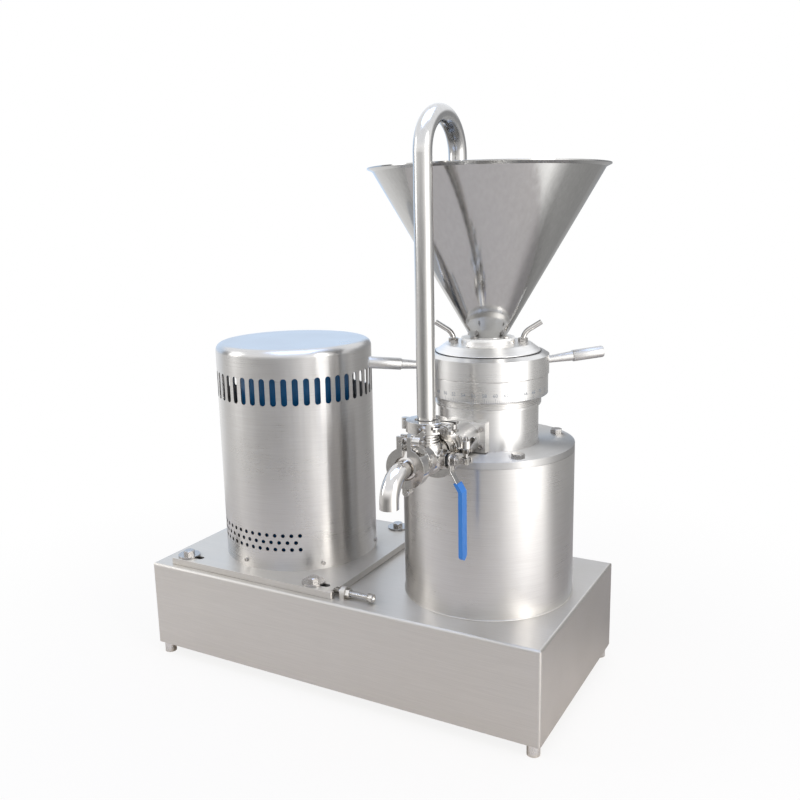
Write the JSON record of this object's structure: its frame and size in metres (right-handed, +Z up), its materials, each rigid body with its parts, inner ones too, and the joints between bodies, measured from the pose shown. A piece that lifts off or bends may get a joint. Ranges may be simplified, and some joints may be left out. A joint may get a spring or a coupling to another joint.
{
  "type": "colloid mill",
  "caption": "Belt-driven colloid mill: sheet base, covered upright motor, grinding head with gap ring and handles, conical hopper, three-way outlet valve and return pipe.",
  "frame": {"origin": "on the floor, at the centre of the four feet", "axes": "+Z up, +X along the base from the motor to the mill, -Y towards the outlet side"},
  "size_m": [0.8265, 0.5625, 1.003],
  "materials": {
    "brushed_sheet": "brushed stainless sheet",
    "turned_steel": "turned stainless steel",
    "polished_steel": "polished stainless steel",
    "fasteners": "plain stainless fasteners",
    "bearing_steel": "ground steel",
    "cast_iron": "machined grey iron",
    "motor_paint": "blue enamel",
    "windings": "varnished copper windings",
    "fan_plastic": "moulded plastic",
    "belt_rubber": "fabric-faced rubber",
    "seal_carbide": "lapped carbide",
    "blue_vinyl": "dipped vinyl",
    "gasket_rubber": "white silicone rubber"
  },
  "bodies": {
    "base": {"base_shell": "brushed_sheet", "base_feet": "turned_steel", "motor_plate_bolts": "fasteners", "jack_nuts": "fasteners", "drive_belts": "belt_rubber", "bearing_housing": "cast_iron", "mill_bearings": "bearing_steel", "mill_drum": "brushed_sheet", "drum_lid": "turned_steel", "lid_bolts": "fasteners", "neck_casing": "turned_steel", "seal_seat": "seal_carbide", "scale_ring": "turned_steel", "outlet_block": "turned_steel", "outlet_screws": "fasteners", "valve_body": "polished_steel", "spout": "polished_steel", "return_pipe": "polished_steel", "outlet_clamp": "polished_steel", "spout_clamp": "polished_steel", "return_clamp": "polished_steel", "clamp_pins": "fasteners", "clamp_gaskets": "gasket_rubber"},
    "motor_carriage": {"motor_plate": "brushed_sheet", "jack_screws": "fasteners", "motor_cover": "brushed_sheet", "cover_screws": "fasteners", "motor_frame": "motor_paint", "motor_end_shields": "motor_paint", "motor_flange_bolts": "fasteners", "motor_bearings": "bearing_steel", "motor_stator": "windings", "motor_fan_cowl": "motor_paint"},
    "motor_spindle": {"motor_rotor": "bearing_steel", "motor_fan": "fan_plastic", "motor_pulley": "cast_iron"},
    "mill_spindle": {"mill_pulley": "cast_iron", "pulley_nut": "fasteners", "main_shaft": "bearing_steel", "bearing_inner_rings": "bearing_steel", "seal_head": "turned_steel", "rotor": "turned_steel", "rotor_nut": "turned_steel"},
    "stator_group": {"stator_ring": "turned_steel", "stator_screws": "fasteners", "top_cover": "turned_steel", "water_nipples": "polished_steel", "hopper": "polished_steel", "hopper_bolts": "fasteners"},
    "gap_ring": {"handle_ring": "turned_steel"},
    "left_handle": {"handle_left": "polished_steel"},
    "right_handle": {"handle_right": "polished_steel"},
    "valve_spindle": {"valve_ball": "polished_steel", "valve_stem": "polished_steel", "valve_lever": "polished_steel", "lever_sleeve": "blue_vinyl", "lever_nut": "fasteners"},
    "outlet_nut": {"outlet_wing_nut": "polished_steel"},
    "spout_nut": {"spout_wing_nut": "polished_steel"},
    "return_nut": {"return_wing_nut": "polished_steel"}
  },
  "joints": [
    {"name": "motor_slide", "type": "slide", "parent": "base", "child": "motor_carriage", "axis": [1, 0, 0], "range_m": [-0.012, 0.004], "deforming": ["drive_belts"]},
    {"name": "motor_spin", "type": "hinge", "parent": "motor_carriage", "child": "motor_spindle", "pos_m": [-0.178, 0, 0.1], "axis": [0, 0, 1], "continuous": true},
    {"name": "mill_spin", "type": "hinge", "parent": "base", "child": "mill_spindle", "pos_m": [0.228, 0, 0.1], "axis": [0, 0, 1], "continuous": true},
    {"name": "stator_lift", "type": "slide", "parent": "base", "child": "stator_group", "axis": [0, 0, 1], "range_m": [0, 0.001]},
    {"name": "gap_ring_turn", "type": "hinge", "parent": "stator_group", "child": "gap_ring", "pos_m": [0.228, 0, 0.59], "axis": [0, 0, 1], "range_deg": [-90, 0]},
    {"name": "left_handle_turn", "type": "hinge", "parent": "gap_ring", "child": "left_handle", "pos_m": [0.228, 0, 0.58455], "axis": [-0.7843, -0.6127, 0.0976], "range_deg": [0, 180]},
    {"name": "right_handle_turn", "type": "hinge", "parent": "gap_ring", "child": "right_handle", "pos_m": [0.228, 0, 0.58455], "axis": [0.7843, 0.6127, 0.0976], "range_deg": [0, 180]},
    {"name": "valve_turn", "type": "hinge", "parent": "base", "child": "valve_spindle", "pos_m": [0.228, -0.232, 0.486], "axis": [1, 0, 0], "range_deg": [-90, 0]},
    {"name": "outlet_nut_turn", "type": "hinge", "parent": "base", "child": "outlet_nut", "pos_m": [0.277, -0.198, 0.5], "axis": [0, 0, 1], "range_deg": [0, 180]},
    {"name": "spout_nut_turn", "type": "hinge", "parent": "base", "child": "spout_nut", "pos_m": [0.242, -0.294, 0.52625], "axis": [1, 0, 0], "range_deg": [0, 180]},
    {"name": "return_nut_turn", "type": "hinge", "parent": "base", "child": "return_nut", "pos_m": [0.26825, -0.246, 0.536], "axis": [0, -1, 0], "range_deg": [0, 180]}
  ],
  "couplings": [
    {"joint": "mill_spin", "follows": "motor_spin", "ratio": 1.25},
    {"joint": "stator_lift", "follows": "gap_ring_turn", "m_per_rad": -0.0006366}
  ]
}
